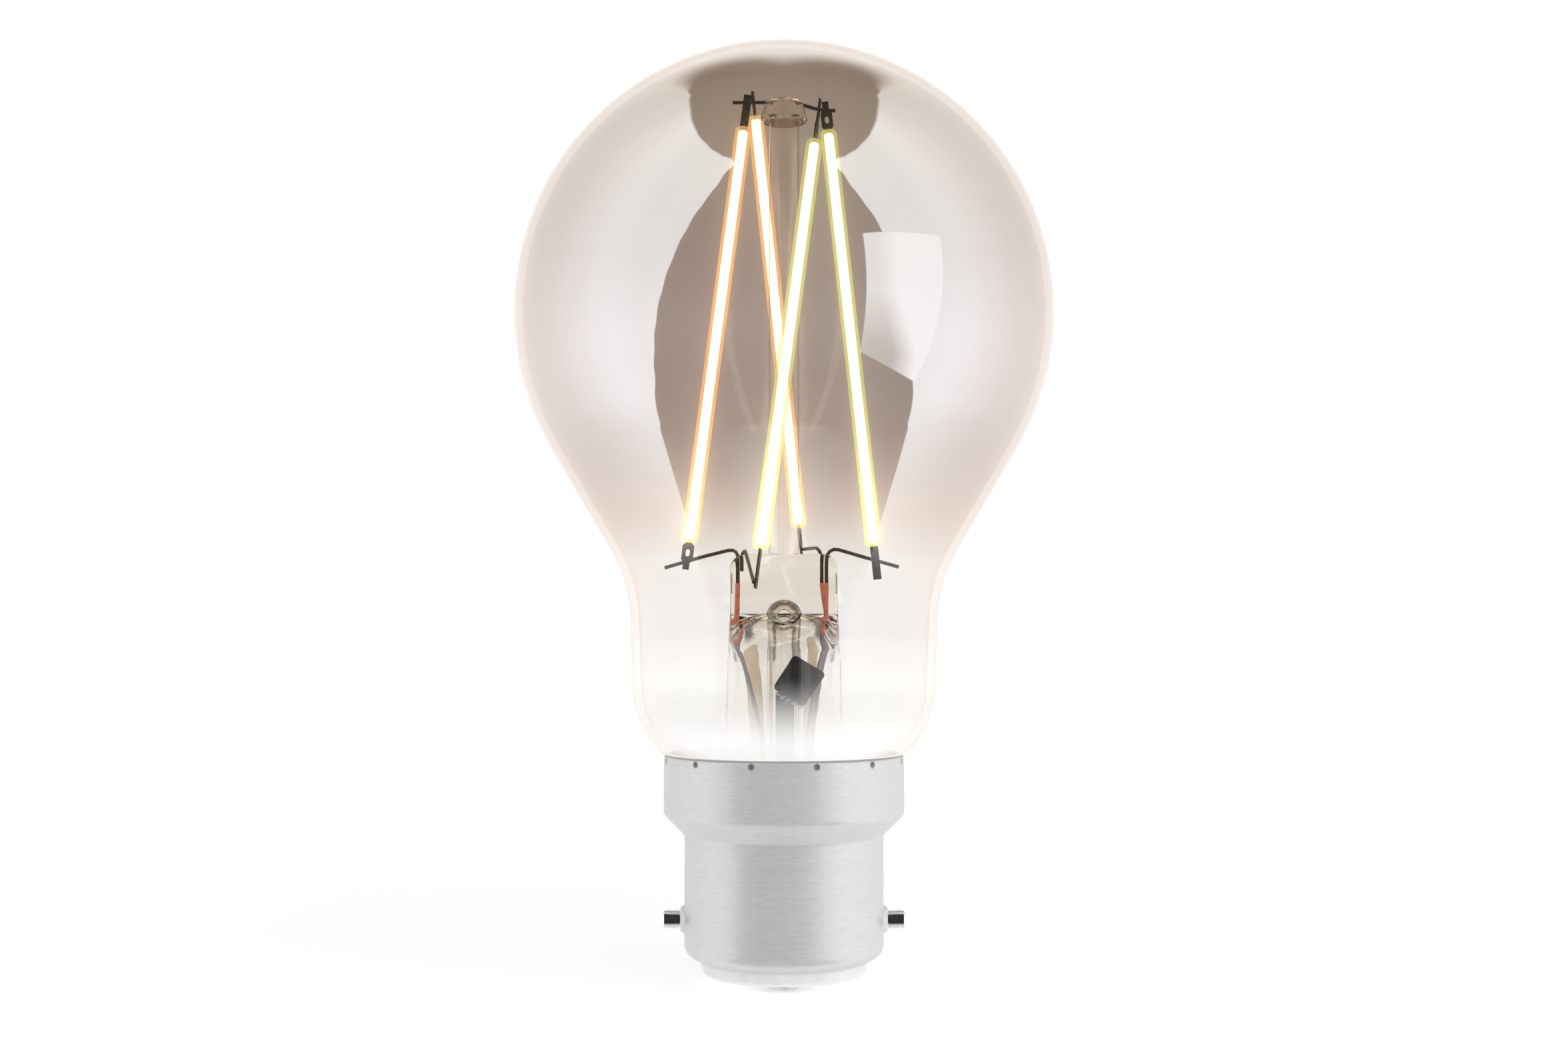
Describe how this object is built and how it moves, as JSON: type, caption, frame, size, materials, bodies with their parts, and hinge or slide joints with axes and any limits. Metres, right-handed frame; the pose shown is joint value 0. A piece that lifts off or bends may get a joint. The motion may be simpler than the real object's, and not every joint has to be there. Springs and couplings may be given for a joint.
{
  "type": "smart light bulb",
  "caption": "Smart filament lamp: smoked glass bulb with lit filaments on a glass stem, over a bayonet cap that holds the driver and radio.",
  "frame": {"origin": "centre of the lamp axis on the contact plane, under the cap", "axes": "+Z along the lamp axis from the contacts to the top of the glass, +X along the bayonet pins, contacts along Y"},
  "size_m": [0.06, 0.06, 0.104],
  "materials": {
    "smoked_glass": "blown glass with a smoky grey-brown tint that fades towards the neck, gloss",
    "clear_glass": "clear drawn glass, gloss",
    "support_metal": "oxidised nickel wire, dull",
    "seal_metal": "copper-clad wire, copper red under glass",
    "tail_metal": "tinned wire, dull grey",
    "strip_ceramic": "white ceramic",
    "tab_metal": "stamped steel tab, oxidised",
    "chip": "bare semiconductor chip",
    "coat_warm": "warm white phosphor silicone, lit",
    "coat_cool": "cool white phosphor silicone, lit",
    "cap_metal": "drawn and satin brushed round the axis",
    "pin_metal": "polished plated",
    "base_plastic": "white moulded, slight sheen",
    "contact_brass": "stamped brass",
    "solder": "tin solder, satin",
    "cement": "capping cement, matte",
    "liner_plastic": "white insulating sleeve",
    "insulation": "beige insulating strip, matte",
    "wire_insulation": "silicone rubber insulation, matte",
    "board": "green solder mask",
    "black_part": "black moulded component",
    "capacitor_sleeve": "dark blue shrink sleeve",
    "ferrite": "dark ferrite",
    "resistor_body": "lacquered resistor body",
    "radio_board": "blue solder mask",
    "shield_tin": "tinned steel can",
    "antenna_sleeve": "black heat-shrink sleeve"
  },
  "bodies": {
    "root": {"glass_envelope": "smoked_glass", "stem_flare": "clear_glass", "exhaust_tube": "clear_glass", "centre_rod": "clear_glass", "support_button": "clear_glass", "support_wire_warm": "support_metal", "support_wire_cool": "support_metal", "lead_wire_common": "support_metal", "lead_wire_branch": "support_metal", "lead_wire_warm": "support_metal", "lead_wire_cool": "support_metal", "seal_wires": "seal_metal", "lead_tails": "tail_metal", "lead_insulators": "insulation", "warm_left_strip": "strip_ceramic", "warm_left_tabs": "tab_metal", "warm_left_chips": "chip", "warm_left_coat": "coat_warm", "warm_back_strip": "strip_ceramic", "warm_back_tabs": "tab_metal", "warm_back_chips": "chip", "warm_back_coat": "coat_warm", "cool_front_strip": "strip_ceramic", "cool_front_tabs": "tab_metal", "cool_front_chips": "chip", "cool_front_coat": "coat_cool", "cool_right_strip": "strip_ceramic", "cool_right_tabs": "tab_metal", "cool_right_chips": "chip", "cool_right_coat": "coat_cool", "cap_shell": "cap_metal", "bayonet_pin_left": "pin_metal", "bayonet_pin_right": "pin_metal", "base_insulator": "base_plastic", "contact_plate_front": "contact_brass", "contact_plate_back": "contact_brass", "solder_pad_front": "solder", "solder_pad_back": "solder", "cap_cement": "cement", "driver_liner": "liner_plastic", "mains_wires": "wire_insulation", "driver_board": "board", "bridge_rectifier": "black_part", "bulk_capacitor": "capacitor_sleeve", "filter_inductor": "ferrite", "fuse_resistor": "resistor_body", "driver_chip": "black_part", "radio_module": "radio_board", "radio_shield": "shield_tin", "antenna_lead": "antenna_sleeve", "antenna_block": "antenna_sleeve"}
  },
  "joints": []
}
